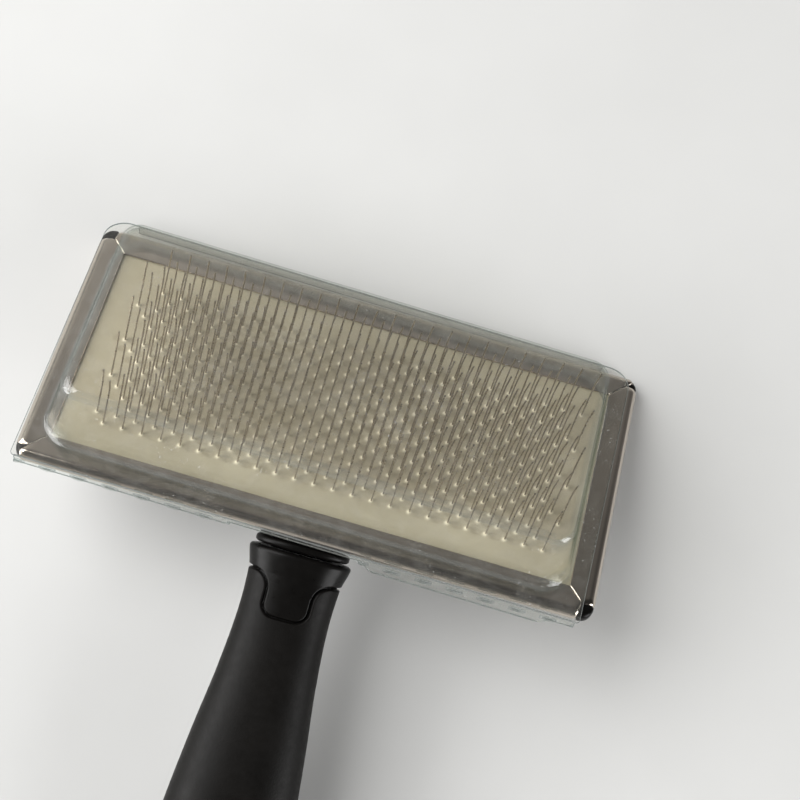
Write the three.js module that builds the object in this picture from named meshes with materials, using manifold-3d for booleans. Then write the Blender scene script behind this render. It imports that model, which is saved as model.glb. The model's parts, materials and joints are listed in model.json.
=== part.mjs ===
// Slicker brush: a steel-framed pad of bent wire pins on a T-shaped head, a two-material handle
// that falls away behind the pad, and a clear lift-off cover that guards the pins.
//
// Units are millimetres. The head is designed in its own frame: x along the head, y away from the
// handle, z out of the pad, with z = 0 on the front face of the steel lip. The handle is designed
// in a frame of its own whose -y axis runs down the grip. The whole brush is then laid on its back
// on a table (z = 0), where the head leans back until its far edge and the grip touch the table.
import * as THREE from 'three';
import { mergeVertices } from 'three/addons/utils/BufferGeometryUtils.js';
import Module from 'manifold-3d';

const wasm = await Module();
wasm.setup();

// ---------------------------------------------------------------- driving dimensions
const GAP = 0.3; // clearance between neighbouring pieces
const THIN_GAP = 0.15; // clearance between the flat layers clamped by the steel frame

const LEAN = THREE.MathUtils.degToRad(25.6); // lean of the head when the brush lies on its back
const DROOP = THREE.MathUtils.degToRad(30); // fall of the handle behind the pad plane

const HEAD = { halfX: 59.8, halfY: 29.4, edge: 3.4 }; // outside of the steel frame
const SHEET = 0.5; // steel sheet thickness
const WINDOW = { halfX: 53.8, halfY: 23.5 }; // opening that shows the pad
const HEM = 6.3; // width of the frame's back hem
const NOTCH = 4.6; // leg of the cut that opens each frame corner
const STACK_INSET = 1.6; // pad layers and carrier rim end this far inside the frame

const RUBBER = 0.65; // layer thicknesses, front to back
const CLOTH = 0.45;
const CROWN = 0.4;
const FOAM = 2.6;
const RIM = 0.7;
const TRAY_WALL = 1.3;

const PIN = {
  pitch: 4, rowPitch: 2.26, radius: 0.23, kneeY: 2.7, kneeZ: 8.1, tipX: 0.55, tipY: 2.4, tipZ: 12.4,
};
// One entry per row, repeating every four rows from the handle side: first pin's x and pin count.
const ROW_PATTERN = [
  { firstX: -45, count: 24 },
  { firstX: -47, count: 24 },
  { firstX: -41, count: 22 },
  { firstX: -43, count: 24 },
];
const ROW_COUNT = 16;

const NECK = { x: 0.5, y: -25.75, z: -9.63, halfX: 9.3, halfZ: 6.3, root: 9 }; // centre of the neck's end
const YAW = THREE.MathUtils.degToRad(0.54); // the grip runs slightly off square to the head
const RING = { start: 0.3, end: 2.1, halfX: 9.8, halfZ: 6.6 }; // along the handle from the neck
const COLLAR = { start: 2.4, widest: 3.0, end: 7.2, halfX: 10.6, halfZ: 7.5 };
const TONGUE = { half: 4.8, tip: 15.6, round: 2.6, fillet: 3.6 };
const SEAM = 0.35; // groove between the collar's tongues and the grip
const SLEEVE = 2.3; // wall of the soft grip
const GRIP_END = 104;
const BUTT = { start: GRIP_END + GAP, roundFrom: 108, end: 120, spigot: 4 };
const HANG_HOLE = { y: -112.2, halfLength: 4.6, halfX: 3.4 };

const TANG = { halfX: 5.5, nearY: -29.5, farY: -4.3, lowZ: -12.7, highZ: -7.9 };
const SPINE_DEPTH = 15.6;
const SCREW = { ys: [-9, -17.5], headR: 2.4, headH: 1.6, shankR: 1.2, seatZ: -14.1, tipZ: -9.3 };

const COVER = {
  halfX: 58.45, halfY: 30.8, wall: 0.45, height: 14.6, footX: 54.2, footY: 25.3, topX: 51.9, topY: 21.6,
  shiftX: -1.05, skew: -0.0105, skirt: 1.8, tab: 4.0,
};
const CRIMP = { pitch: 6.45, length: 3.3, depth: 0.35 };

// ---------------------------------------------------------------- heights in the head frame
const rubberTop = -SHEET - THIN_GAP;
const rubberBottom = rubberTop - RUBBER;
const clothTop = rubberBottom - THIN_GAP;
const clothBottom = clothTop - CLOTH;
const rimTop = clothBottom - THIN_GAP;
const crownTop = clothBottom - THIN_GAP;
const crownBottom = crownTop - CROWN;
const foamTop = crownBottom - THIN_GAP;
const foamBottom = foamTop - FOAM;
const trayFloor = foamBottom - THIN_GAP;
const trayBack = trayFloor - TRAY_WALL;
const hemBack = -HEAD.edge;
const trayHalf = { x: HEAD.halfX - HEM - GAP, y: HEAD.halfY - HEM - GAP };

// ---------------------------------------------------------------- materials
const steel = { color: 0x9a9490, roughness: 0.16, metalness: 1 };
const wire = { color: 0x6e6a66, roughness: 0.3, metalness: 1 };
const rubber = { color: 0xa6a18c, roughness: 0.62, metalness: 0 };
const cloth = { color: 0x6f6a5c, roughness: 0.95, metalness: 0 };
const foam = { color: 0xd9d3bd, roughness: 1, metalness: 0 };
const hardBlack = { color: 0x141312, roughness: 0.38, metalness: 0 };
const softBlack = { color: 0x1b1a19, roughness: 0.72, metalness: 0 };
const zinc = { color: 0xb9bbbd, roughness: 0.35, metalness: 1 };
const clear = { color: 0xe8efec, roughness: 0.06, metalness: 0, transparent: true, opacity: 0.25 };

// ---------------------------------------------------------------- shape helpers
function solid(geometry) {
  const bare = new THREE.BufferGeometry();
  bare.setAttribute('position', geometry.getAttribute('position').clone());
  if (geometry.index) bare.setIndex(geometry.index.clone());
  const merged = mergeVertices(bare, 1e-4);
  const vertProperties = new Float32Array(merged.getAttribute('position').array);
  const triVerts = new Uint32Array(merged.index.array);
  return new wasm.Manifold(new wasm.Mesh({ numProp: 3, vertProperties, triVerts }));
}

function geometryOf(manifold) {
  const mesh = manifold.getMesh();
  const geometry = new THREE.BufferGeometry();
  geometry.setAttribute('position', new THREE.BufferAttribute(mesh.vertProperties, 3));
  geometry.setIndex(new THREE.BufferAttribute(mesh.triVerts, 1));
  return geometry;
}

// Box between two corners.
function block(x0, y0, z0, x1, y1, z1) {
  const geometry = new THREE.BoxGeometry(x1 - x0, y1 - y0, z1 - z0);
  return geometry.translate((x0 + x1) / 2, (y0 + y1) / 2, (z0 + z1) / 2);
}

// Flat plate of a 2-D shape between two heights.
function plate(shape, z0, z1, curveSegments = 5) {
  const geometry = new THREE.ExtrudeGeometry(shape, { depth: z1 - z0, bevelEnabled: false, curveSegments });
  return geometry.translate(0, 0, z0);
}

// Rectangle about the origin with a corner radius for the far (+y) and near (-y) corners.
function roundedRectangle(halfX, halfY, farRadius, nearRadius = farRadius) {
  const shape = new THREE.Shape();
  shape.moveTo(-halfX + nearRadius, -halfY);
  shape.lineTo(halfX - nearRadius, -halfY);
  shape.absarc(halfX - nearRadius, -halfY + nearRadius, nearRadius, -Math.PI / 2, 0);
  shape.lineTo(halfX, halfY - farRadius);
  shape.absarc(halfX - farRadius, halfY - farRadius, farRadius, 0, Math.PI / 2);
  shape.lineTo(-halfX + farRadius, halfY);
  shape.absarc(-halfX + farRadius, halfY - farRadius, farRadius, Math.PI / 2, Math.PI);
  shape.lineTo(-halfX, -halfY + nearRadius);
  shape.absarc(-halfX + nearRadius, -halfY + nearRadius, nearRadius, Math.PI, Math.PI * 1.5);
  return shape;
}

// Rectangle about the origin with its corners cut at 45 degrees.
function cutRectangle(halfX, halfY, leg) {
  const shape = new THREE.Shape();
  shape.moveTo(-halfX + leg, -halfY);
  shape.lineTo(halfX - leg, -halfY);
  shape.lineTo(halfX, -halfY + leg);
  shape.lineTo(halfX, halfY - leg);
  shape.lineTo(halfX - leg, halfY);
  shape.lineTo(-halfX + leg, halfY);
  shape.lineTo(-halfX, halfY - leg);
  shape.lineTo(-halfX, -halfY + leg);
  return shape;
}

// Closed body through a row of rings that all have the same number of points.
function loft(rings) {
  const count = rings[0].length;
  const positions = rings.flat().flatMap((p) => [p.x, p.y, p.z]);
  const index = [];
  for (let r = 0; r + 1 < rings.length; r += 1) {
    for (let i = 0; i < count; i += 1) {
      const a = r * count + i;
      const b = r * count + ((i + 1) % count);
      index.push(a, b, b + count, a, b + count, a + count);
    }
  }
  const last = (rings.length - 1) * count;
  for (let i = 1; i + 1 < count; i += 1) {
    index.push(0, i + 1, i);
    index.push(last, last + i, last + i + 1);
  }
  const geometry = new THREE.BufferGeometry();
  geometry.setAttribute('position', new THREE.Float32BufferAttribute(positions, 3));
  geometry.setIndex(index);
  return geometry;
}

// Ring of a rounded rectangle at height z.
function rectangleRing(halfX, halfY, radius, z, divisions) {
  const points = roundedRectangle(halfX, halfY, radius).getPoints(divisions);
  const last = points[points.length - 1];
  if (last.distanceTo(points[0]) < 1e-6) points.pop();
  return points.map((p) => new THREE.Vector3(p.x, p.y, z));
}

// Superellipse ring across the handle at the distance along it.
function handleRing(halfX, halfZ, along, divisions = 24) {
  const power = 2 / 2.35;
  const ring = [];
  for (let i = 0; i < divisions; i += 1) {
    const angle = (i / divisions) * Math.PI * 2;
    const c = Math.cos(angle);
    const s = Math.sin(angle);
    const x = halfX * Math.sign(c) * Math.abs(c) ** power;
    const z = halfZ * Math.sign(s) * Math.abs(s) ** power;
    ring.push(new THREE.Vector3(x, -along, z));
  }
  return ring;
}

function part(name, body, look, parent) {
  const geometry = body instanceof THREE.BufferGeometry ? body : geometryOf(body);
  const mesh = new THREE.Mesh(geometry, new THREE.MeshStandardMaterial(look));
  mesh.name = name;
  parent.add(mesh);
  return mesh;
}

// Four corners, each as its signs along x and y.
const CORNERS = [[1, 1], [1, -1], [-1, 1], [-1, -1]];

// ---------------------------------------------------------------- groups
const brush = new THREE.Group();
const head = new THREE.Group();
const handle = new THREE.Group();
const cover = new THREE.Group();
brush.add(head);
head.add(handle);
head.add(cover);
head.rotation.x = -LEAN;
handle.rotation.set(DROOP, 0, YAW);
handle.position.set(NECK.x, NECK.y, NECK.z);
handle.updateMatrix();
cover.rotation.z = COVER.skew;
cover.position.x = COVER.shiftX;

// ---------------------------------------------------------------- steel frame
// Plate whose rim is a half-round bend: rectangles that shrink as they leave mid-height.
function bendPlate(halfX, halfY, radius, steps = 5) {
  const rings = [];
  for (let i = 0; i <= 2 * steps; i += 1) {
    const angle = -Math.PI / 2 + (i / steps) * (Math.PI / 2);
    const inset = radius * (1 - Math.cos(angle));
    const z = -HEAD.edge / 2 + radius * Math.sin(angle);
    const x = halfX - inset;
    const y = halfY - inset;
    rings.push([[-x, -y], [x, -y], [x, y], [-x, y]].map(([px, py]) => new THREE.Vector3(px, py, z)));
  }
  return loft(rings);
}

// Prism that covers everything outside a corner notch, moved out by clearance.
function cornerPrism([signX, signY], clearance) {
  const reach = 20;
  const shift = clearance + reach;
  const prism = new THREE.BoxGeometry(reach * 2, reach * 2, reach * 2).rotateZ(Math.PI / 4);
  const x = HEAD.halfX - NOTCH / 2;
  const y = HEAD.halfY - NOTCH / 2;
  return prism.translate(signX * (x + shift * Math.SQRT1_2), signY * (y + shift * Math.SQRT1_2), 0);
}

function steelFrame() {
  const radius = HEAD.edge / 2;
  let body = solid(bendPlate(HEAD.halfX, HEAD.halfY, radius));
  body = body.subtract(solid(bendPlate(HEAD.halfX - SHEET, HEAD.halfY - SHEET, radius - SHEET)));
  const frontWindow = block(-WINDOW.halfX, -WINDOW.halfY, -radius, WINDOW.halfX, WINDOW.halfY, 1);
  const backX = HEAD.halfX - HEM;
  const backY = HEAD.halfY - HEM;
  const backWindow = block(-backX, -backY, hemBack - 1, backX, backY, -radius);
  body = body.subtract(solid(frontWindow)).subtract(solid(backWindow));
  for (const corner of CORNERS) {
    const [signX, signY] = corner;
    const mitre = block(-2, -0.12, -radius, 12, 0.12, 1).rotateZ(Math.atan2(signY, signX));
    mitre.translate(signX * WINDOW.halfX, signY * WINDOW.halfY, 0);
    body = body.subtract(solid(cornerPrism(corner, 0))).subtract(solid(mitre));
  }
  return body;
}

// ---------------------------------------------------------------- pad layers
function rowY(row) {
  return (row - (ROW_COUNT - 1) / 2) * PIN.rowPitch - 0.25;
}

// How far a pin leans per millimetre of height, below its knee.
const pinLean = PIN.kneeY / (PIN.kneeZ - rubberTop);

// Slots let each row of wires through a layer between two heights.
function cutRowSlots(body, z0, z1) {
  const clearance = PIN.radius + 0.2;
  let cut = body;
  for (let row = 0; row < ROW_COUNT; row += 1) {
    const { firstX, count } = ROW_PATTERN[row % ROW_PATTERN.length];
    const lastX = firstX + (count - 1) * PIN.pitch;
    const nearY = rowY(row) + (z0 - rubberTop) * pinLean - clearance;
    const farY = rowY(row) + (z1 - rubberTop) * pinLean + clearance;
    cut = cut.subtract(solid(block(firstX - 0.7, nearY, z0 - 1, lastX + 0.7, farY, z1 + 1)));
  }
  return cut;
}

function padLayer(z0, z1) {
  const leg = NOTCH - 2 * STACK_INSET + 2 * GAP;
  const shape = cutRectangle(HEAD.halfX - STACK_INSET, HEAD.halfY - STACK_INSET, leg);
  return cutRowSlots(solid(plate(shape, z0, z1)), z0, z1);
}

function foamCushion() {
  const x = trayHalf.x - TRAY_WALL - GAP;
  const y = trayHalf.y - TRAY_WALL - GAP;
  return plate(roundedRectangle(x, y, 2.5), foamBottom, foamTop, 4);
}

// ---------------------------------------------------------------- pins
// One bent wire: root in the crown strip, straight to the knee, then bent upright to the tip.
function pinWire(x, y) {
  const rootZ = (crownTop + crownBottom) / 2;
  const path = [
    [x, y + (rootZ - rubberTop) * pinLean, rootZ],
    [x + PIN.tipX * 0.6, y + PIN.kneeY, PIN.kneeZ],
    [x + PIN.tipX, y + PIN.tipY, PIN.tipZ],
  ];
  return loft(path.map(([px, py, pz]) => [0, 1, 2].map((i) => {
    const angle = (i / 3) * Math.PI * 2 + Math.PI / 2;
    return new THREE.Vector3(px + PIN.radius * Math.cos(angle), py + PIN.radius * Math.sin(angle), pz);
  })));
}

function pinRow(row) {
  const { firstX, count } = ROW_PATTERN[row % ROW_PATTERN.length];
  const lastX = firstX + (count - 1) * PIN.pitch;
  const y = rowY(row);
  const rootY = y + (crownTop - rubberTop) * pinLean;
  let body = solid(block(firstX - 0.5, rootY - 0.4, crownBottom, lastX + 0.5, rootY + 0.35, crownTop));
  for (let i = 0; i < count; i += 1) {
    body = body.add(solid(pinWire(firstX + i * PIN.pitch, y)));
  }
  return body;
}

// ---------------------------------------------------------------- back plate
// The spine under the tray: half-ellipse sections from the neck, fading out towards the far side.
function spineRing(halfX, depth, y) {
  const centreZ = trayBack + 1;
  return handleRing(halfX, depth + centreZ, -y, 20).map((p) => new THREE.Vector3(p.x, p.y, p.z + centreZ));
}

function tangBlock(grow) {
  const x = TANG.halfX + grow;
  return block(-x, TANG.nearY - grow, TANG.lowZ - grow, x, TANG.farY + grow, TANG.highZ + grow);
}

// Screw or screw hole: one lathe from the head to the tip, grown by clearance.
function screwBody(y, grow, headDepth) {
  const outline = [
    [0, SCREW.seatZ - headDepth], [SCREW.headR + grow, SCREW.seatZ - headDepth],
    [SCREW.headR + grow, SCREW.seatZ], [SCREW.shankR + grow, SCREW.seatZ],
    [SCREW.shankR + grow, SCREW.tipZ + grow], [0, SCREW.tipZ + grow],
  ].map(([r, z]) => new THREE.Vector2(r, z));
  return new THREE.LatheGeometry(outline, 12).rotateX(Math.PI / 2).translate(0, y, 0);
}

function backPlate() {
  const rimX = HEAD.halfX - STACK_INSET;
  const rimY = HEAD.halfY - STACK_INSET;
  let body = solid(plate(roundedRectangle(rimX, rimY, 0.8), rimTop - RIM, rimTop, 2));
  const rings = [
    rectangleRing(trayHalf.x, trayHalf.y, 3, rimTop - RIM / 2, 4),
    rectangleRing(trayHalf.x, trayHalf.y, 3, trayBack + 1.2, 4),
    rectangleRing(trayHalf.x - 1.2, trayHalf.y - 1.2, 2.4, trayBack, 4),
  ].reverse();
  body = body.add(solid(loft(rings)));

  // Rounded plastic corners that fill the notches of the steel frame.
  const cornerShape = roundedRectangle(HEAD.halfX - 0.2, HEAD.halfY - 0.2, 3.4);
  const cornerPlate = solid(plate(cornerShape, hemBack + 0.1, -0.9, 5));
  for (const corner of CORNERS) {
    body = body.add(cornerPlate.intersect(solid(cornerPrism(corner, GAP))));
  }

  const spine = [
    [9.2, SPINE_DEPTH - 0.4, -22.2], [10.4, SPINE_DEPTH, -6], [11, 12.4, 4], [11.4, -trayBack + 0.6, 13],
  ];
  const underTray = solid(block(-20, -40, -40, 20, 20, trayBack + 1));
  const spineRings = spine.map(([x, depth, y]) => spineRing(x, depth, y)).reverse();
  body = body.add(solid(loft(spineRings)).intersect(underTray));

  // Neck: follows the handle's axis and stays behind the steel hem.
  const neck = loft([handleRing(NECK.halfX, NECK.halfZ, -NECK.root), handleRing(NECK.halfX, NECK.halfZ, 0)]);
  const behindHem = solid(block(-20, -40, -40, 20, 0, hemBack - GAP));
  body = body.add(solid(neck.applyMatrix4(handle.matrix)).intersect(behindHem));

  const trayX = trayHalf.x - TRAY_WALL;
  const trayY = trayHalf.y - TRAY_WALL;
  body = body.subtract(solid(plate(roundedRectangle(trayX, trayY, 2.8), trayFloor, 1, 4)));
  body = body.subtract(solid(tangBlock(GAP)));
  for (const y of SCREW.ys) {
    body = body.subtract(solid(screwBody(y, GAP, 6)));
  }
  return body;
}

// ---------------------------------------------------------------- handle
// Half-width and half-thickness of the handle along its length.
const widthCurve = new THREE.SplineCurve([
  [COLLAR.end, 9.6], [12.5, 9.35], [28, 10.22], [41, 11.8], [54, 13.15], [68, 14.2], [82, 14.6], [96, 13.9],
  [GRIP_END, 12.9], [112, 11.4],
].map(([s, w]) => new THREE.Vector2(s, w)));
const depthCurve = new THREE.SplineCurve([
  [COLLAR.end, 7.1], [14, 7.1], [30, 8], [55, 10], [82, 11.2], [GRIP_END, 10], [112, 8.8],
].map(([s, w]) => new THREE.Vector2(s, w)));

// Value of a curve (whose x is the distance along the handle) at that distance.
function valueAt(curve, along) {
  let low = 0;
  let high = 1;
  for (let i = 0; i < 30; i += 1) {
    const middle = (low + high) / 2;
    if (curve.getPoint(middle).x < along) low = middle;
    else high = middle;
  }
  return curve.getPoint(low).y;
}

// Stations from one distance to another, about a step apart.
function stations(from, to, step) {
  const count = Math.max(1, Math.round((to - from) / step));
  return Array.from({ length: count + 1 }, (_, i) => from + ((to - from) * i) / count);
}

// Grip body between two distances, shrunk evenly by inset.
function gripBody(from, to, inset, step = 8) {
  const rings = stations(from, to, step).map((s) => (
    handleRing(valueAt(widthCurve, s) - inset, valueAt(depthCurve, s) - inset, s)));
  return loft(rings);
}

function collarBody() {
  return loft([
    handleRing(9.5, 6.4, COLLAR.start),
    handleRing(COLLAR.halfX - 0.3, COLLAR.halfZ - 0.35, COLLAR.start + 0.2),
    handleRing(COLLAR.halfX, COLLAR.halfZ, COLLAR.widest),
    handleRing(9.65, 7.15, COLLAR.end - 0.2),
    handleRing(9.3, 6.9, COLLAR.end),
  ]);
}

// Collar and tongue outline seen along the handle's thickness, grown by the groove's width.
function tongueShape(grow) {
  const half = TONGUE.half + grow;
  const seamY = -COLLAR.end - grow;
  const tipY = -TONGUE.tip - grow;
  const inner = TONGUE.fillet - grow;
  const outer = TONGUE.round + grow;
  const side = 16;
  const shape = new THREE.Shape();
  shape.moveTo(-side, 0);
  shape.lineTo(-side, seamY);
  shape.lineTo(-half - inner, seamY);
  shape.absarc(-half - inner, seamY - inner, inner, Math.PI / 2, 0, true);
  shape.lineTo(-half, tipY + outer);
  shape.absarc(-half + outer, tipY + outer, outer, Math.PI, Math.PI * 1.5);
  shape.lineTo(half - outer, tipY);
  shape.absarc(half - outer, tipY + outer, outer, Math.PI * 1.5, Math.PI * 2);
  shape.lineTo(half, seamY - inner);
  shape.absarc(half + inner, seamY - inner, inner, Math.PI, Math.PI / 2, true);
  shape.lineTo(side, seamY);
  shape.lineTo(side, 0);
  return shape;
}

function neckRing() {
  const { start, end, halfX, halfZ } = RING;
  const rings = [
    handleRing(halfX - 0.8, halfZ - 0.8, start), handleRing(halfX - 0.15, halfZ - 0.15, start + 0.6),
    handleRing(halfX, halfZ, start + 1), handleRing(halfX - 0.2, halfZ - 0.2, end - 0.4),
    handleRing(halfX - 0.7, halfZ - 0.7, end),
  ];
  const hole = tangBlock(GAP).applyMatrix4(handle.matrix.clone().invert());
  return solid(loft(rings)).subtract(solid(hole));
}

function handleCore() {
  const blank = solid(gripBody(COLLAR.end, TONGUE.tip + 3, 0, 3.1));
  const tongues = blank.intersect(solid(plate(tongueShape(0), -20, 20)));
  let body = solid(collarBody()).add(tongues);
  body = body.add(solid(gripBody(COLLAR.end - 0.5, GRIP_END, SLEEVE + GAP)));
  body = body.add(solid(gripBody(GRIP_END - 1, GRIP_END + BUTT.spigot, SLEEVE + 3)));
  const toHandle = handle.matrix.clone().invert();
  body = body.add(solid(tangBlock(0).applyMatrix4(toHandle)));
  for (const y of SCREW.ys) {
    body = body.subtract(solid(screwBody(y, GAP, 6).applyMatrix4(toHandle)));
  }
  return body;
}

function gripSleeve() {
  const outside = solid(gripBody(COLLAR.end + SEAM, GRIP_END, 0, 5));
  const inside = solid(gripBody(COLLAR.end - 1, GRIP_END + 1, SLEEVE));
  return outside.subtract(inside).subtract(solid(plate(tongueShape(SEAM), -20, 20)));
}

// Butt end: the grip's lines run out into a dome, pierced by a hanging hole.
function endCap() {
  const rings = stations(BUTT.start, BUTT.roundFrom, 2).map((s) => (
    handleRing(valueAt(widthCurve, s), valueAt(depthCurve, s), s)));
  const width = valueAt(widthCurve, BUTT.roundFrom);
  const depth = valueAt(depthCurve, BUTT.roundFrom);
  const domeSteps = 6;
  for (let i = 1; i <= domeSteps; i += 1) {
    const angle = (i / domeSteps) * THREE.MathUtils.degToRad(84);
    const s = BUTT.roundFrom + (BUTT.end - BUTT.roundFrom) * Math.sin(angle);
    rings.push(handleRing(width * Math.cos(angle) ** 0.8, depth * Math.cos(angle) ** 0.6, s));
  }
  const socket = gripBody(GRIP_END - 1, GRIP_END + BUTT.spigot + GAP, SLEEVE + 3 - GAP);
  const { y, halfLength, halfX } = HANG_HOLE;
  const slot = plate(roundedRectangle(halfX, halfLength, halfX - 0.01), -20, 20, 6).translate(0, y, 0);
  return solid(loft(rings)).subtract(solid(socket)).subtract(solid(slot));
}

// ---------------------------------------------------------------- clear cover
function clearCover() {
  const { halfX, halfY, wall, height, footX, footY, topX, topY, skirt, tab } = COVER;
  const under = GAP;
  const top = under + wall;
  const pocket = (inset) => loft([
    rectangleRing(footX - inset, footY - inset, 6.5, inset > 0 ? -1 : under, 4),
    rectangleRing(footX - inset, footY - inset, 6.5, top, 4),
    rectangleRing(topX - inset + 0.35, topY - inset + 0.5, 4, height - 1.8 - inset, 4),
    rectangleRing(topX - inset - 0.3, topY - inset - 0.3, 3.6, height - 0.5 - inset, 4),
    rectangleRing(topX - inset - 1.6, topY - inset - 1.6, 2.6, height - inset, 4),
  ]);
  let body = solid(plate(roundedRectangle(halfX, halfY, 5, 0.8), under, top, 4)).add(solid(pocket(0)));

  // Skirts hang along the two long sides and leave room for the neck.
  const nearWall = (x0, x1, low) => solid(block(x0, -halfY, -low, x1, -halfY + wall, top));
  body = body.add(nearWall(-halfX + 0.8, -13.2, skirt)).add(nearWall(-13.2, 13.2, 0.8));
  body = body.add(nearWall(13.2, halfX - 0.8, skirt)).add(nearWall(16.5, 50.5, tab));
  body = body.add(nearWall(14.5, 52.5, tab - 1.2));
  body = body.add(solid(block(-52, halfY - wall, -skirt, 52, halfY, top)));

  // Crimps stiffen the near skirt.
  const firstCrimp = -halfX + 6;
  for (let x = firstCrimp; x + CRIMP.length < halfX; x += CRIMP.pitch) {
    if (x + CRIMP.length < -13.2 || x > 13.2) {
      const outer = -halfY - CRIMP.depth;
      body = body.add(solid(block(x, outer, -skirt, x + CRIMP.length, -halfY + wall / 2, -0.2)));
    }
  }
  return body.subtract(solid(pocket(wall)));
}

// ---------------------------------------------------------------- assembly
part('steel_frame', steelFrame(), steel, head);
part('back_plate', backPlate(), hardBlack, head);
part('foam_cushion', foamCushion(), foam, head);
part('cloth_backing', padLayer(clothBottom, clothTop), cloth, head);
part('rubber_face', padLayer(rubberBottom, rubberTop), rubber, head);
for (let row = 0; row < ROW_COUNT; row += 1) {
  part(`pin_row_${String(row + 1).padStart(2, '0')}`, pinRow(row), wire, head);
}
SCREW.ys.forEach((y, i) => part(`neck_screw_${i + 1}`, screwBody(y, 0, SCREW.headH), zinc, head));
part('neck_ring', neckRing(), hardBlack, handle);
part('handle_core', handleCore(), hardBlack, handle);
part('grip_sleeve', gripSleeve(), softBlack, handle);
part('end_cap', endCap(), hardBlack, handle);
part('clear_cover', clearCover(), clear, cover);

// Lay the brush on the table: lowest point at z = 0, box centred on x and y.
brush.updateMatrixWorld(true);
const box = new THREE.Box3().setFromObject(brush, true);
const centre = box.getCenter(new THREE.Vector3());
head.position.set(-centre.x, -centre.y, -box.min.z);
brush.updateMatrixWorld(true);

export default brush;
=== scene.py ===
"""Slicker brush with its clear cover on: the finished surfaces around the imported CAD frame."""

import json
import math

import bmesh
import bpy
import numpy as np
from mathutils import Matrix, Vector


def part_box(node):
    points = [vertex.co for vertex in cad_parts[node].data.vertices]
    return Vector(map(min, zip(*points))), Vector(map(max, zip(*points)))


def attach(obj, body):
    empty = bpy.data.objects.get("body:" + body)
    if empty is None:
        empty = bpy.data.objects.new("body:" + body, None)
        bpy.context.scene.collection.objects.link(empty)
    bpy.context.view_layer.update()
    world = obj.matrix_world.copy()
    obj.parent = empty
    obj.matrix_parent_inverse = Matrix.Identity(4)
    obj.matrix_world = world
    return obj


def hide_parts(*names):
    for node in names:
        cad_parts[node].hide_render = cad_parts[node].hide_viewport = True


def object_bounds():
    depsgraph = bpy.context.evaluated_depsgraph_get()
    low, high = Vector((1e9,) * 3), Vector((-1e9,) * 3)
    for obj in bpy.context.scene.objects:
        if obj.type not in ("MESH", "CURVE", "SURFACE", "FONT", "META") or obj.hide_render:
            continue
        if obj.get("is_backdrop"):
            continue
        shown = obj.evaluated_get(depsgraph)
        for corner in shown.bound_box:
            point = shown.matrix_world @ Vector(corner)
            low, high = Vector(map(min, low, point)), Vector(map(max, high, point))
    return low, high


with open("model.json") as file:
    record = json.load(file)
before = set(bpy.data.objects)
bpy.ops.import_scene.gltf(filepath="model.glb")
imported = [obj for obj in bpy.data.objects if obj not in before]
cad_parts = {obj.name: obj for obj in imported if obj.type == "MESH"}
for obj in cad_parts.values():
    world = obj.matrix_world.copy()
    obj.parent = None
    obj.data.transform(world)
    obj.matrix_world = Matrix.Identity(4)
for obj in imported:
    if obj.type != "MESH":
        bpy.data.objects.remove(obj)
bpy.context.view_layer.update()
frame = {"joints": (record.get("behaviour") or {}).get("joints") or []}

MM = 0.001

# ------------------------------------------------------------------ named sizes, in mm
HEAD_HALF = (59.8, 29.4)  # outside of the steel frame
HEAD_EDGE = 3.4  # its thickness, from lip face to hem
SHEET = 0.5
WINDOW = (53.8, 23.5)
HEM = 6.3
NOTCH = 3.3  # side of the square left open at each corner of the frame
FOLDED_NOTCH = (1.5, 2.7)  # the same on long and short sides, where the ends are folded closer
STACK_INSET = 1.6
RUBBER_TOP, RUBBER_BOTTOM = -0.65, -1.30
CLOTH_TOP, CLOTH_BOTTOM = -1.45, -1.90
RIM_TOP, RIM_BOTTOM = -2.05, -2.75
CROWN_Z = -2.25
FOAM_TOP, FOAM_BOTTOM = -2.60, -5.20
TRAY_FLOOR, TRAY_BACK = -5.35, -6.65
TRAY_HALF = (53.2, 22.8)
TRAY_WALL = 1.3
PIN_PITCH, ROW_PITCH = 4.0, 2.26
WIRE_RADIUS = 0.185
KNEE_Y, KNEE_Z = 2.7, 8.1
TIP_X, TIP_Y, TIP_Z = 0.55, 2.4, 12.35
ROW_PATTERN = ((-45, 24), (-47, 24), (-41, 22), (-43, 24))  # first pin's x, pin count
ROW_COUNT = 16
ROW_SHIFT = -0.25
NECK_CENTRE = (0.5, -25.75, -9.63)  # of the neck's end face
NECK_HALF = (9.3, 6.3)
NECK_ROOT = 9.0
DROOP, YAW = math.radians(30), math.radians(0.54)
COLLAR_END = 7.2
TONGUE_HALF, TONGUE_TIP, TONGUE_ROUND, TONGUE_FILLET = 4.8, 15.6, 2.6, 3.6
GRIP_END, BUTT_START, BUTT_ROUND, BUTT_END = 104.0, 104.3, 108.0, 119.85
HOLE_Y, HOLE_HALF = -112.2, (3.4, 4.6)
TANG_LOW, TANG_HIGH = (-5.5, -29.5, -12.7), (5.5, -4.3, -7.9)
SPINE_DEPTH = 15.6
SCREW_YS = (-9.0, -17.5)
SCREW_RADIUS, SCREW_HEAD, SCREW_SEAT = 2.4, 1.6, -14.1
COVER_HALF = (58.45, 30.8)
COVER_WALL, COVER_UNDER, COVER_HEIGHT = 0.34, 0.36, 14.46
COVER_FOOT, COVER_TOP = (54.2, 25.3), (51.9, 21.6)
COVER_SHIFT, COVER_SKEW = -1.05, -0.0105  # it sits a little to the left, and turned (radians)
FLANGE_CORNERS = (5, 0.8)  # radius of its far and near corners
FOOT_FILLET, SHOULDER = 0.9, 1.9
SHOULDER_RADIUS = 4.2  # of the pocket's corners, in plan
FAR_EDGE_TRIM = 0.11  # how much of the far flange's width past the foot is trimmed off
SKIRT_THICK, SKIRT_DEPTH = 0.26, 1.8
RELIEF_START, RELIEF_RAMP, RELIEF_DEPTH = 13.0, 1.4, 0.8  # shallow stretch of skirt over the neck
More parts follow.
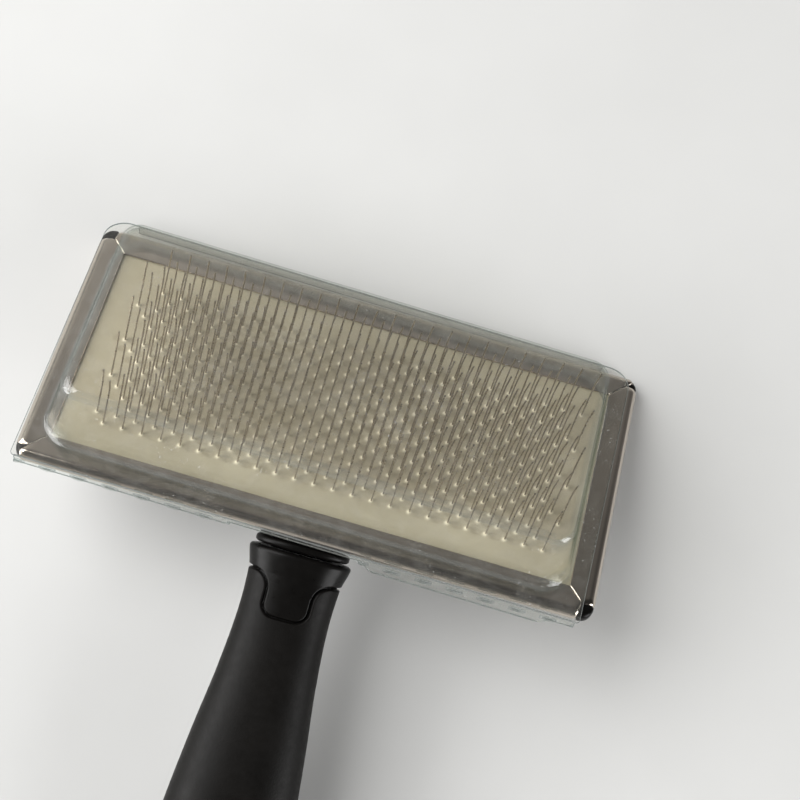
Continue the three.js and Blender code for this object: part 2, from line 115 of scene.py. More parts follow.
TAB_START, TAB_END, TAB_DEPTH, TAB_ROUND = 14.5, 52.5, 4.0, 2.2  # pull tab on the near skirt
CRIMP_PITCH, CRIMP_LENGTH, CRIMP_DEPTH = 6.45, 3.3, 0.33
POWER = 2.35  # superellipse exponent of the neck and handle

# Camera, as a person looks down at the pad: angles from the pad's normal, in degrees.
CAMERA = {"lens": 79.0, "distance": 0.3657, "toward_handle": 32.15, "to_left": 0.77, "roll": 15.7}
AIM = (11.17, 7.33)  # point of the lip plane at the middle of the view, in mm


# ------------------------------------------------------------------ places
class Place:
    """A local frame in mm laid into the row frame."""

    def __init__(self, origin, axes):
        self.origin = np.array(origin, float)
        self.axes = np.array(axes, float)

    def points(self, local):
        return self.origin + np.asarray(local, float) @ self.axes * MM

    def inside(self, offset, axes):
        return Place(self.points(offset), np.asarray(axes, float) @ self.axes)


def head_place():
    normal = np.array(frame["joints"][0]["axis"], float)
    normal /= np.linalg.norm(normal)
    across = np.array([1.0, 0.0, 0.0])
    low, high = (np.array(corner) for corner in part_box("steel_frame"))
    origin = (low + high) / 2 + normal * HEAD_EDGE / 2 * MM
    return Place(origin, [across, np.cross(normal, across), normal])


HEAD = head_place()
HANDLE_AXES = np.array((Matrix.Rotation(DROOP, 3, "X") @ Matrix.Rotation(YAW, 3, "Z")).transposed())
HANDLE = HEAD.inside(NECK_CENTRE, HANDLE_AXES)
COVER = HEAD.inside((COVER_SHIFT, 0, 0), np.array(Matrix.Rotation(COVER_SKEW, 3, "Z").transposed()))


def head_to_handle(points):
    return (points - np.array(NECK_CENTRE)) @ HANDLE_AXES.T


# ------------------------------------------------------------------ mesh helpers
def signed_volume(points, faces):
    total = 0.0
    for face in faces:
        corners = points[list(face)]
        fan = corners[:1].repeat(len(face) - 2, 0)
        total += np.einsum("ij,ij->i", np.cross(corners[1:-1], corners[2:]), fan).sum()
    return total


def piece(name, place, mesh, look, body, nodes=(), sharp=40):
    """Object of a (points, faces) mesh in place, with its look, body and the CAD nodes it replaces."""
    points, faces = mesh
    points = np.asarray(points, float)
    faces = [tuple(int(i) for i in f) for f in faces]
    if signed_volume(points, faces) < 0:
        faces = [f[::-1] for f in faces]
    data = bpy.data.meshes.new(name)
    data.from_pydata(place.points(points).tolist(), [], faces)
    data.update()
    data.shade_smooth()
    data.set_sharp_from_angle(angle=math.radians(sharp))
    data.materials.append(look)
    made = bpy.data.objects.new(name, data)
    bpy.context.scene.collection.objects.link(made)
    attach(made, body)
    if nodes:
        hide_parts(*nodes)
    return made


def join(meshes):
    points, faces, start = [], [], 0
    for part_points, part_faces in meshes:
        points.append(np.asarray(part_points, float))
        faces.extend(tuple(np.asarray(f) + start) for f in part_faces)
        start += len(part_points)
    return np.concatenate(points), faces


def loft(rings, caps=True, closed=False):
    """Skin through rings of equal length; closed joins the last ring back to the first."""
    rings = np.asarray(rings, float)
    rows, count = rings.shape[:2]
    faces = []
    around = np.arange(count)
    ahead = (around + 1) % count
    for row in range(rows if closed else rows - 1):
        a, b = row * count, ((row + 1) % rows) * count
        faces.extend(zip(a + around, a + ahead, b + ahead, b + around))
    if caps and not closed:
        faces.append(tuple(around[::-1]))
        faces.append(tuple((rows - 1) * count + around))
    return rings.reshape(-1, 3), faces


def tube(path, radius, sides=8):
    """Round wire along a path of points."""
    path = np.asarray(path, float)
    ahead = np.gradient(path, axis=0)
    ahead /= np.linalg.norm(ahead, axis=1)[:, None]
    side = np.cross(ahead[0], [1.0, 0.3, 0.2])
    rings = []
    angles = np.arange(sides) / sides * 2 * math.pi
    for point, tangent in zip(path, ahead):
        side = side - tangent * (side @ tangent)
        side /= np.linalg.norm(side)
        other = np.cross(tangent, side)
        rings.append(point + radius * (np.cos(angles)[:, None] * side + np.sin(angles)[:, None] * other))
    return loft(rings)


def surface_net(field, low, high, step):
    """Closed mesh of the surface where field is zero, its points pulled onto the surface."""
    axes = [np.arange(a, b + step, step) for a, b in zip(low, high)]
    grid = np.stack(np.meshgrid(*axes, indexing="ij"), -1)
    inside = field(grid.reshape(-1, 3)).reshape(grid.shape[:3]) < 0
    shape = np.array(inside.shape) - 1
    count = np.zeros(shape, int)
    for corner in np.ndindex(2, 2, 2):
        count += inside[tuple(slice(c, c + n) for c, n in zip(corner, shape))]
    active = (count > 0) & (count < 8)
    ids = np.full(shape, -1)
    ids[active] = np.arange(active.sum())
    start = grid[:-1, :-1, :-1][active]
    points = start + step / 2
    nudge = 0.02
    for _ in range(6):
        value = field(points)
        slope = np.stack([
            (field(points + nudge * axis) - field(points - nudge * axis)) / (2 * nudge) for axis in np.eye(3)
        ], -1)
        size = np.maximum((slope ** 2).sum(-1), 1e-6)
        move = np.clip(-(value / size)[:, None] * slope, -step / 2, step / 2)
        points = np.clip(points + move, start - step * 0.1, start + step * 1.1)
    faces = []
    for axis in range(3):
        b, c = (axis + 1) % 3, (axis + 2) % 3
        lower = np.take(inside, range(shape[axis]), axis)
        upper = np.take(inside, range(1, shape[axis] + 1), axis)
        edge = np.argwhere(lower != upper)
        edge = edge[(edge[:, b] > 0) & (edge[:, b] < shape[b]) & (edge[:, c] > 0) & (edge[:, c] < shape[c])]
        corners = []
        for back_b, back_c in ((0, 0), (1, 0), (1, 1), (0, 1)):
            cell = edge.copy()
            cell[:, b] -= back_b
            cell[:, c] -= back_c
            corners.append(ids[tuple(cell.T)])
        quads = np.stack(corners, -1)
        leaving = lower[tuple(edge.T)]
        quads[~leaving] = quads[~leaving][:, ::-1]
        faces.append(quads)
    return points, np.concatenate(faces).tolist()


# ------------------------------------------------------------------ distance fields
def rectangle_2d(x, y, half, radius):
    dx, dy = np.abs(x) - half[0] + radius, np.abs(y) - half[1] + radius
    return np.hypot(np.maximum(dx, 0), np.maximum(dy, 0)) + np.minimum(np.maximum(dx, dy), 0) - radius


def slab(plan, z, low, high, round_edge):
    """Body of a flat outline (its 2-D distance) between two heights, with rounded edges."""
    a = plan + round_edge
    b = np.abs(z - (low + high) / 2) - (high - low) / 2 + round_edge
    return np.hypot(np.maximum(a, 0), np.maximum(b, 0)) + np.minimum(np.maximum(a, b), 0) - round_edge


def block_field(p, low, high, round_edge=0.0):
    low, high = np.array(low), np.array(high)
    q = np.abs(p - (low + high) / 2) - (high - low) / 2 + round_edge
    return np.linalg.norm(np.maximum(q, 0), axis=1) + np.minimum(q.max(1), 0) - round_edge


def union(a, b, blend=0.0):
    if not blend:
        return np.minimum(a, b)
    h = np.maximum(blend - np.abs(a - b), 0) / blend
    return np.minimum(a, b) - h * h * blend / 4


def cut(a, b, blend=0.0):
    return -union(-a, b, blend)


def oval(x, z, half_x, half_z):
    """Distance to a superellipse, to first order."""
    x, z = np.abs(x) + 1e-6, np.abs(z) + 1e-6
    size = ((x / half_x) ** POWER + (z / half_z) ** POWER) ** (1 / POWER)
    slope_x = size ** (1 - POWER) * x ** (POWER - 1) / half_x ** POWER
    slope_z = size ** (1 - POWER) * z ** (POWER - 1) / half_z ** POWER
    return (size - 1) / np.hypot(slope_x, slope_z)


# ------------------------------------------------------------------ materials
class Look:
    """A Principled material that varies with noise in object space (metres)."""

    def __init__(self, name, **sockets):
        self.material = bpy.data.materials.new(name)
        self.material.use_nodes = True
        self.tree = self.material.node_tree
        self.shader = self.tree.nodes["Principled BSDF"]
        self.output = self.tree.nodes["Material Output"]
        self.place = self.node("ShaderNodeTexCoord").outputs["Object"]
        self.normal = None
        for socket, value in sockets.items():
            self.shader.inputs[socket.replace("_", " ")].default_value = value

    def node(self, kind, **values):
        made = self.tree.nodes.new(kind)
        for name, value in values.items():
            if name in made.inputs:
                made.inputs[name].default_value = value
            else:
                setattr(made, name, value)
        return made

    def link(self, source, target):
        self.tree.links.new(source, target)

    def stretched(self, x, y, z):
        mapping = self.node("ShaderNodeMapping")
        mapping.inputs["Scale"].default_value = (x, y, z)
        self.link(self.place, mapping.inputs["Vector"])
        return mapping.outputs["Vector"]

    def noise(self, size_mm, detail=3.0, rough=0.55, vector=None):
        made = self.node("ShaderNodeTexNoise", Scale=1 / (size_mm * MM), Detail=detail, Roughness=rough)
        self.link(vector or self.place, made.inputs["Vector"])
        return made.outputs["Fac"]

    def ramp(self, source, *stops):
        made = self.node("ShaderNodeValToRGB")
        while len(made.color_ramp.elements) < len(stops):
            made.color_ramp.elements.new(0.5)
        for element, (at, colour) in zip(made.color_ramp.elements, stops):
            element.position = at
            element.color = (*colour, 1) if len(colour) == 3 else colour
        self.link(source, made.inputs["Fac"])
        return made.outputs["Color"]

    def range(self, source, low, high, from_low=0.3, from_high=0.7):
        made = self.node("ShaderNodeMapRange")
        ends = {"From Min": from_low, "From Max": from_high, "To Min": low, "To Max": high}
        for name, value in ends.items():
            made.inputs[name].default_value = value
        self.link(source, made.inputs["Value"])
        return made.outputs["Result"]

    def times(self, a, b):
        made = self.node("ShaderNodeVectorMath", operation="MULTIPLY")
        self.link(a, made.inputs[0])
        self.link(b, made.inputs[1])
        return made.outputs["Vector"]

    def maths(self, a, b, operation="ADD"):
        made = self.node("ShaderNodeMath", operation=operation)
        self.link(a, made.inputs[0])
        self.link(b, made.inputs[1])
        return made.outputs[0]

    def colour(self, source, *stops):
        self.link(self.ramp(source, *stops), self.shader.inputs["Base Color"])
        return self

    def rough(self, source, low, high):
        self.link(self.range(source, low, high), self.shader.inputs["Roughness"])
        return self

    def bump(self, source, height_mm, strength=1.0):
        made = self.node("ShaderNodeBump", Strength=strength, Distance=height_mm * MM)
        self.link(source, made.inputs["Height"])
        if self.normal is not None:
            self.link(self.normal, made.inputs["Normal"])
        self.normal = made.outputs["Normal"]
        self.link(self.normal, self.shader.inputs["Normal"])
        return self


def grey(value, warm=0.0):
    return (value * (1 + warm), value, value * (1 - warm))


def steel_look():
    look = Look("polished_steel", Metallic=1.0)
    look.colour(look.noise(22), (0.3, (0.50, 0.45, 0.395)), (0.7, (0.60, 0.54, 0.475)))
    look.rough(look.noise(5, 6), 0.1, 0.2)
    scratches = look.noise(1.1, 2, vector=look.stretched(0.12, 1.2, 1.2))
    look.bump(scratches, 0.0015)
    return look.material


def wire_look():
    look = Look("steel_wire", Metallic=1.0)
    look.colour(look.noise(3), (0.3, (0.36, 0.32, 0.27)), (0.7, (0.52, 0.47, 0.40)))
    look.rough(look.noise(0.8), 0.22, 0.4)
    look.bump(look.noise(0.25), 0.004)
    return look.material


def rubber_look():
    """Beige rubber, with a painted highlight on the collars round the wires and painted shade in the hollows
    between them.
    """
    look = Look("pad_rubber", Specular_IOR_Level=0.35)
    mottled = look.ramp(look.noise(9, 5), (0.3, (0.375, 0.334, 0.236)), (0.7, (0.425, 0.382, 0.276)))
    relief_shade_and_highlight = look.node("ShaderNodeAttribute", attribute_name="relief_shade_and_highlight").outputs["Fac"]
    height = look.range(relief_shade_and_highlight, 0, 1, -0.5, 1.0)
    # Painted shade in the hollows and painted highlight on the collars, both set by the rubber's height.
    shade = look.ramp(height, (0.0, grey(0.84, 0.01)), (0.33, grey(0.97)), (0.6, (2.05, 2.1, 2.25)))
    look.link(look.times(mottled, shade), look.shader.inputs["Base Color"])
    look.rough(look.noise(1.5), 0.5, 0.72)
    look.bump(look.noise(0.35), 0.012)
    return look.material


def cloth_look():
    look = Look("backing_cloth", Specular_IOR_Level=0.2)
    look.colour(look.noise(0.5), (0.3, (0.12, 0.11, 0.09)), (0.7, (0.2, 0.18, 0.15)))
    look.rough(look.noise(0.5), 0.85, 1.0)
    look.bump(look.noise(0.3), 0.05)
    return look.material


def foam_look():
    look = Look("foam", Specular_IOR_Level=0.2)
    look.colour(look.noise(1.2), (0.3, (0.55, 0.5, 0.38)), (0.7, (0.72, 0.67, 0.54)))
    look.rough(look.noise(0.8), 0.9, 1.0)
    look.bump(look.noise(0.6), 0.12)
    return look.material


def hard_plastic_look():
    look = Look("moulded_black_plastic", Specular_IOR_Level=0.1)
    look.colour(look.noise(4), (0.3, grey(0.003, 0.08)), (0.7, grey(0.0045, 0.08)))
    look.rough(look.noise(2.5, 4), 0.26, 0.36)
    look.bump(look.noise(0.3), 0.006)
    return look.material


def soft_grip_look():
    look = Look("soft_touch_black", Specular_IOR_Level=0.09)
    look.colour(look.noise(7, 4), (0.3, grey(0.0035, 0.1)), (0.7, grey(0.0055, 0.1)))
    look.rough(look.noise(1.4, 5), 0.4, 0.52)
    look.bump(look.noise(0.35, 2), 0.03)
    return look.material


def zinc_look():
    look = Look("zinc_plated_steel", Metallic=1.0)
    look.colour(look.noise(1.5), (0.3, (0.5, 0.5, 0.5)), (0.7, (0.66, 0.66, 0.68)))
    look.rough(look.noise(0.6), 0.25, 0.42)
    look.bump(look.noise(0.2), 0.006)
    return look.material


def clear_plastic_look():
    """Thin clear sheet: see-through, with gloss that grows at grazing angles, a little haze, and painted
    shade along folds and cut edges.
    """
    look = Look("clear_pvc")
    see_through = look.node("ShaderNodeBsdfTransparent")
    gloss = look.node("ShaderNodeBsdfGlossy")
    gloss.inputs["Roughness"].default_value = 0.035
    haze = look.node("ShaderNodeBsdfDiffuse")
    haze.inputs["Color"].default_value = (0.8, 0.8, 0.78, 1)
    weight = look.node("ShaderNodeLayerWeight")
    steep = look.node("ShaderNodeMath", operation="POWER")
    steep.inputs[1].default_value = 5.0
    wave = look.node("ShaderNodeBump", Strength=1.0, Distance=0.007 * MM)
    look.link(look.noise(8, 1), wave.inputs["Height"])
    for target in (gloss, weight):
        look.link(wave.outputs["Normal"], target.inputs["Normal"])
    look.link(weight.outputs["Facing"], steep.inputs[0])
    mirror = look.range(steep.outputs[0], 0.03, 0.25, 0.0, 1.0)
    stops = ((0.0, (0.985, 0.98, 0.97)), (0.8, (0.93, 0.94, 0.92)), (1.0, (0.42, 0.52, 0.47)))
    tint = look.ramp(weight.outputs["Facing"], *stops)
    fold = look.node("ShaderNodeAttribute", attribute_name="fold").outputs["Fac"]
    # Painted shade: the see-through colour darkens to a dark teal along folds and cut edges.
    fold_painted_shade = look.ramp(fold, (0.0, grey(1.0)), (1.0, (0.32, 0.41, 0.41)))
    look.link(look.times(tint, fold_painted_shade), see_through.inputs["Color"])
    mirror = look.maths(mirror, look.range(fold, 0.0, 0.12, 0.0, 1.0))
    patches = look.range(look.noise(14.0, 3), 0.0, 1.0, 0.5, 0.6)
    specks = look.maths(look.range(look.noise(0.5, 3), 0.0, 0.4, 0.65, 0.72), patches, "MULTIPLY")
    scuff = look.maths(look.range(look.noise(3.0, 6, 0.7), 0.015, 0.05, 0.45, 0.75), specks)
    scuff = look.maths(scuff, look.range(fold, 0.0, 0.18, 0.0, 1.0))
    dull = look.node("ShaderNodeMixShader")
    look.link(scuff, dull.inputs[0])
    look.link(see_through.outputs[0], dull.inputs[1])
    look.link(haze.outputs[0], dull.inputs[2])
    mixed = look.node("ShaderNodeMixShader")
    look.link(mirror, mixed.inputs[0])
    look.link(dull.outputs[0], mixed.inputs[1])
    look.link(gloss.outputs[0], mixed.inputs[2])
    look.tree.nodes.remove(look.shader)
    look.link(mixed.outputs[0], look.output.inputs["Surface"])
    return look.material


STEEL = steel_look()
WIRE = wire_look()
RUBBER = rubber_look()
CLOTH = cloth_look()
FOAM = foam_look()
HARD = hard_plastic_look()
SOFT = soft_grip_look()
ZINC = zinc_look()
CLEAR = clear_plastic_look()


# ------------------------------------------------------------------ steel frame
def frame_profile():
    """Pairs of (inward distance, height) on the two faces of the sheet, from window to hem."""
    bend, inner = HEAD_EDGE / 2, HEAD_EDGE / 2 - SHEET
    edge = HEAD_HALF[0] - WINDOW[0]
    pairs = [((edge, -0.13), (edge, -SHEET + 0.13)), ((edge - 0.13, 0), (edge - 0.13, -SHEET))]
    for n in np.linspace(edge - 0.5, bend + 0.25, 7):
        pairs.append(((n, 0), (n, -SHEET)))
    for angle in np.linspace(math.pi / 2, -math.pi / 2, 19):
        c, s = math.cos(angle), math.sin(angle)
        pairs.append(((bend - bend * c, -bend + bend * s), (bend - inner * c, -bend + inner * s)))
    for n in (bend + 0.4, 3.5, HEM - 0.5, HEM - 0.12):
        pairs.append(((n, -HEAD_EDGE), (n, -HEAD_EDGE + SHEET)))
    pairs.append(((HEM, -HEAD_EDGE + 0.12), (HEM, -HEAD_EDGE + SHEET - 0.12)))
    return pairs


def frame_side(half_long, half_out, turn, notches=(NOTCH, NOTCH)):
    """One side of the pressed frame; its ends follow the mitre and turn down at the corner notch."""
    mitre_gap = 0.07
    from_end = [0, 0.04, 0.1, 0.2, 0.34, 0.55, 0.8, 1.1, 1.5]
    pairs = np.array(frame_profile())
    outer, inner = pairs[:, 0], pairs[:, 1]
    inward_of_face = (inner - outer) / np.linalg.norm(inner - outer, axis=1)[:, None]
    first, last = (
        half_long - np.maximum(outer[:, 0] + mitre_gap, notch - 0.12 * outer[:, 0]) for notch in notches
    )
    on_bend = np.clip((NOTCH - 0.6 - outer[:, 0]) / 0.6, 0, 1)
    stations = [(-1, d) for d in from_end] + [(0, t) for t in np.linspace(-1, 1, 60)[1:-1]]
    stations += [(1, d) for d in from_end[::-1]]
    rings = []
    for end, value in stations:
        share = (1 + value) / 2
        along = (last - from_end[-1]) * share - (first - from_end[-1]) * (1 - share)
        if end:
            along = last - value if end > 0 else value - first
        bevel = 0.1 * max(0.0, 1 - value / 0.2) ** 2 if end else 0.0
        turn_down = (0.3 * max(0.0, 1 - value / 1.1) ** 2 if end else 0.0) * on_bend
        wave = 0.03 * np.sin(along * 0.09 + half_out) + 0.006 * np.sin(along * 0.31) - 0.04
        wave *= np.clip((outer[:, 0] - 1.7) / 3, 0, 1) * (outer[:, 1] > -1)
        faces_at = []
        for face, face_bevel in ((outer, bevel), (inner, 0.0)):
            moved = face + inward_of_face * (turn_down + face_bevel)[:, None]
            faces_at.append(np.column_stack([along, moved[:, 0] - half_out, moved[:, 1] + wave]))
        rings.append(np.concatenate([faces_at[0], faces_at[1][::-1]]))
    count = len(pairs)
    points, faces = loft(rings, caps=False)
    total = 2 * count
    for row in (0, len(rings) - 1):
        for i in range(count - 1):
            base = row * total
            quad = (base + i, base + total - 1 - i, base + total - 2 - i, base + i + 1)
            faces.append(quad[::-1] if row else quad)
    c, s = math.cos(turn), math.sin(turn)
    return points @ np.array([[c, s, 0], [-s, c, 0], [0, 0, 1]]), faces


def steel_frame():
    long_side, short_side = HEAD_HALF
    return join([
        frame_side(long_side, short_side, 0, (FOLDED_NOTCH[0], NOTCH)),
        frame_side(long_side, short_side, math.pi, (FOLDED_NOTCH[0], NOTCH)),
        frame_side(short_side, long_side, math.pi / 2, (NOTCH, FOLDED_NOTCH[1])),
        frame_side(short_side, long_side, -math.pi / 2, (NOTCH, FOLDED_NOTCH[1])),
    ])


# ------------------------------------------------------------------ pad layers
def row_pins(row):
    first, count = ROW_PATTERN[row % len(ROW_PATTERN)]
    y = (row - (ROW_COUNT - 1) / 2) * ROW_PITCH + ROW_SHIFT
    return [(first + i * PIN_PITCH, y) for i in range(count)]


ALL_PINS = np.array([pin for row in range(ROW_COUNT) for pin in row_pins(row)])


def layer(top_height, bottom, step, half):
    """Closed sheet with chamfered corners; top_height gives the height of its upper face."""
    xs = np.linspace(-half[0], half[0], int(2 * half[0] / step) + 1)
    ys = np.linspace(-half[1], half[1], int(2 * half[1] / step) + 1)
    x, y = np.meshgrid(xs, ys, indexing="ij")
    over = np.maximum(np.abs(x) + np.abs(y) - (half[0] + half[1] - 2.0), 0) / 2
    x, y = x - np.sign(x) * over, y - np.sign(y) * over
    nx, ny = x.shape
    top = np.stack([x, y, top_height(x, y)], -1).reshape(-1, 3)
    index = np.arange(nx * ny).reshape(nx, ny)
    quads = np.stack([index[:-1, :-1], index[1:, :-1], index[1:, 1:], index[:-1, 1:]], -1).reshape(-1, 4)
    rim = np.concatenate([index[:-1, 0], index[-1, :-1], index[:0:-1, -1], index[0, :0:-1]])
    low = top[rim].copy()
    low[:, 2] = bottom
    base = nx * ny + np.arange(len(rim))
    ahead = np.roll(np.arange(len(rim)), -1)
    faces = quads.tolist() + list(zip(base, base[ahead], rim[ahead], rim)) + [tuple(base[::-1])]
    return np.concatenate([top, low]), faces


def pad_height(x, y):
    """Rubber face: a small collar round every wire, and a shallow hollow between the rows."""
    height = np.full(x.shape, RUBBER_TOP) + 0.03 * np.sin(x * 0.13 + 0.6) * np.cos(y * 0.21)
    reach = 2.4
    xs, ys = x[:, x.shape[1] // 2], y[y.shape[0] // 2]
    for px, py in ALL_PINS:
        i0, i1 = np.searchsorted(xs, (px - reach, px + reach))
        j0, j1 = np.searchsorted(ys, (py - reach, py + reach))
        across, along = x[i0:i1, j0:j1] - px, y[i0:i1, j0:j1] - py
        collar = np.exp(-(across ** 2 + along ** 2) / 0.13)
        hollow = np.exp(-((np.abs(across) - 2) / 1.1) ** 4 - (along / 0.62) ** 4)
        height[i0:i1, j0:j1] += 0.34 * collar - 0.05 * hollow
    return height


def cloth_height(x, y):
    """Plain weave: threads that cross over and under each other."""
    thread = 0.9
    over = np.sin(x * math.pi / thread) * np.sin(y * math.pi / thread)
    return CLOTH_TOP - 0.05 + 0.05 * over


def foam_field(p):
    half = (TRAY_HALF[0] - TRAY_WALL - 0.3, TRAY_HALF[1] - TRAY_WALL - 0.3)
    plan = rectangle_2d(p[:, 0], p[:, 1], half, 2.5)
    sag = 0.12 * (1 - np.cos(p[:, 0] * 2 * math.pi / 26))
    return slab(plan + sag * 0.5, p[:, 2], FOAM_BOTTOM, FOAM_TOP, 0.9)


# ------------------------------------------------------------------ wires
def staple_path(a, b, random):
    """One bent wire with two pins: tip, knee and root of a, crown, then root, knee and tip of b."""
    lean = KNEE_Y / (KNEE_Z - RUBBER_TOP)

    def leg(x, y):
        drift = random.normal(0, 0.09, 2)
        root = np.array([x, y + (CROWN_Z - RUBBER_TOP) * lean, CROWN_Z])
        knee = np.array([x + TIP_X * 0.6, y + KNEE_Y, KNEE_Z])
        tip = np.array([x + TIP_X + drift[0], y + TIP_Y + drift[1], TIP_Z + random.uniform(-0.12, 0)])
        start = knee + (root - knee) * 0.16
        end = knee + (tip - knee) * 0.33
        bend = [(1 - t) ** 2 * start + 2 * t * (1 - t) * knee + t * t * end for t in np.linspace(0, 1, 6)]
        turn = np.array([0.0, 0.0, 0.25])
        return [root, root + turn, (root + start) / 2, *bend, (end + tip) / 2, tip]

    first, second = leg(*a), leg(*b)
    crown = [first[0] + (0.22, 0, -0.06), second[0] + (-0.22, 0, -0.06)]
    return first[:0:-1] + crown + second[1:]


def wire_row(row):
    random = np.random.default_rng(100 + row)
    pins = row_pins(row)
    pairs = zip(pins[::2], pins[1::2])
    return join([tube(staple_path(a, b, random), WIRE_RADIUS) for a, b in pairs])


# ------------------------------------------------------------------ back shell
def corner_outside(x, y, clearance):
    """Below zero inside the square that the notch leaves open at the head's corner."""
    return np.maximum(HEAD_HALF[0] - np.abs(x), HEAD_HALF[1] - np.abs(y)) - NOTCH + clearance


def screw_well(p, y, grow, depth):
    away = np.hypot(p[:, 0], p[:, 1] - y)
    wide = slab(away - SCREW_RADIUS - grow, p[:, 2], SCREW_SEAT - depth, SCREW_SEAT, 0.1)
    return union(wide, slab(away - 1.2 - grow, p[:, 2], SCREW_SEAT - 1, -9.3 + grow, 0.1))


def back_field(p):
    x, y, z = p.T
    tray = slab(rectangle_2d(x, y, TRAY_HALF, 3.0), z, TRAY_BACK, RIM_BOTTOM + 0.3, 1.0)
    knots_y = np.array([-40, -22.2, -6, 4, 13, 40.0])
    spine_x = np.interp(y, knots_y, [9.2, 9.2, 10.4, 11, 11.4, 11.4])
    spine_z = np.interp(y, knots_y, [15.2, 15.2, SPINE_DEPTH, 12.4, 7.25, 7.0])
    top = TRAY_BACK + 1
    spine = np.maximum(oval(x, z - top, spine_x, spine_z + top), np.maximum(z - top, -22.2 - y))
    spine = np.maximum(spine, y - 13)
    body = union(tray, spine, 2.2)
    q = head_to_handle(p)
    neck = np.maximum(oval(q[:, 0], q[:, 2], *NECK_HALF), np.maximum(-q[:, 1], q[:, 1] - NECK_ROOT))
    body = union(body, np.maximum(neck, z + HEAD_EDGE + 0.3), 1.0)
    body = np.maximum(body, -q[:, 1])
    rim_half = (HEAD_HALF[0] - STACK_INSET, HEAD_HALF[1] - STACK_INSET)
    body = union(body, slab(rectangle_2d(x, y, rim_half, 0.8), z, RIM_BOTTOM, RIM_TOP, 0.15))
    outside = (HEAD_HALF[0] - 0.2, HEAD_HALF[1] - 0.2)
    corner = slab(rectangle_2d(x, y, outside, 2.6), z, -HEAD_EDGE + 0.1, -0.5, 0.9)
    body = union(body, np.maximum(corner, corner_outside(x, y, 0.16)))
    cavity_half = (TRAY_HALF[0] - TRAY_WALL, TRAY_HALF[1] - TRAY_WALL)
    cavity = slab(rectangle_2d(x, y, cavity_half, 2.8), z, TRAY_FLOOR, 1, 0.1)
    body = np.maximum(body, -cavity)
    body = np.maximum(body, -block_field(p, np.array(TANG_LOW) - 0.3, np.array(TANG_HIGH) + 0.3, 0.1))
    for screw_y in SCREW_YS:
        body = cut(body, screw_well(p, screw_y, 0.3, 6.0), 0.5)
    return body


def screw_field(p, y):
    """Pan-head screw with a cross recess."""
    away = np.hypot(p[:, 0], p[:, 1] - y)
    head = slab(away - SCREW_RADIUS, p[:, 2], SCREW_SEAT - SCREW_HEAD, SCREW_SEAT, 0.55)
    body = union(head, slab(away - 1.2, p[:, 2], SCREW_SEAT - 0.3, -9.3, 0.15))
    depth = SCREW_SEAT - SCREW_HEAD + 1.0 - 0.35 * away
    arm_a = np.maximum(np.abs(p[:, 0]) - 0.36, np.abs(p[:, 1] - y) - 1.45)
    arm_b = np.maximum(np.abs(p[:, 0]) - 1.45, np.abs(p[:, 1] - y) - 0.36)
    return np.maximum(body, -np.maximum(np.minimum(arm_a, arm_b), p[:, 2] - depth))


# ------------------------------------------------------------------ handle
def spline(knots):
    """Function of distance along the handle through (distance, value) knots, by cubic pieces."""
    s, v = np.array(knots, float).T
    slope = np.gradient(v, s)

    def value(at):
        i = np.clip(np.searchsorted(s, at) - 1, 0, len(s) - 2)
        gap = s[i + 1] - s[i]
        t = np.clip((at - s[i]) / gap, 0, 1)
        return (
            (2 * t ** 3 - 3 * t ** 2 + 1) * v[i] + (t ** 3 - 2 * t ** 2 + t) * gap * slope[i]
            + (-2 * t ** 3 + 3 * t ** 2) * v[i + 1] + (t ** 3 - t ** 2) * gap * slope[i + 1]
        )

    return value


grip_width = spline([
    (7.2, 9.6), (12.5, 9.35), (28, 10.22), (41, 11.8), (54, 13.15), (68, 14.2), (82, 14.6), (96, 13.9),
    (104, 12.9), (112, 11.4),
])
grip_depth = spline([(7.2, 7.1), (14, 7.1), (30, 8), (55, 10), (82, 11.06), (104, 9.94), (112, 8.8)])


def handle_ring(half_x, half_z, along, count):
    angle = np.arange(count) / count * 2 * math.pi
    c, s = np.cos(angle), np.sin(angle)
    x = half_x * np.sign(c) * np.abs(c) ** (2 / POWER)
    z = half_z * np.sign(s) * np.abs(s) ** (2 / POWER)
    return np.stack([x, np.full(count, -along), z], -1)


def tongue_distance(x, s):
    """Signed distance in plan from the seam between core (below zero) and grip."""
    x = np.abs(x)
    fillet_x, fillet_s = TONGUE_HALF + TONGUE_FILLET, COLLAR_END + TONGUE_FILLET
    line = [(20.0, COLLAR_END), (fillet_x, COLLAR_END)]
    for angle in np.linspace(0, math.pi / 2, 16):
        line.append((fillet_x - TONGUE_FILLET * math.sin(angle), fillet_s - TONGUE_FILLET * math.cos(angle)))
    round_x, round_s = TONGUE_HALF - TONGUE_ROUND, TONGUE_TIP - TONGUE_ROUND
    for angle in np.linspace(0, math.pi / 2, 12):
        line.append((round_x + TONGUE_ROUND * math.cos(angle), round_s + TONGUE_ROUND * math.sin(angle)))
    line.append((0.0, TONGUE_TIP))
    line = np.array(line)
    best = np.full(x.shape, 1e9)
    for a, b in zip(line[:-1], line[1:]):
        d = b - a
        t = np.clip(((x - a[0]) * d[0] + (s - a[1]) * d[1]) / max(d @ d, 1e-12), 0, 1)
        best = np.minimum(best, np.hypot(x - a[0] - t * d[0], s - a[1] - t * d[1]))
    root = fillet_x - np.sqrt(np.maximum(TONGUE_FILLET ** 2 - np.maximum(fillet_s - s, 0) ** 2, 0))
    tip = round_x + np.sqrt(np.maximum(TONGUE_ROUND ** 2 - np.maximum(s - round_s, 0) ** 2, 0))
    limit = np.where(s < fillet_s, root, np.where(s < round_s, TONGUE_HALF, tip))
    core = (s < COLLAR_END) | ((x < limit) & (s < TONGUE_TIP))
    return np.where(core, -best, best)


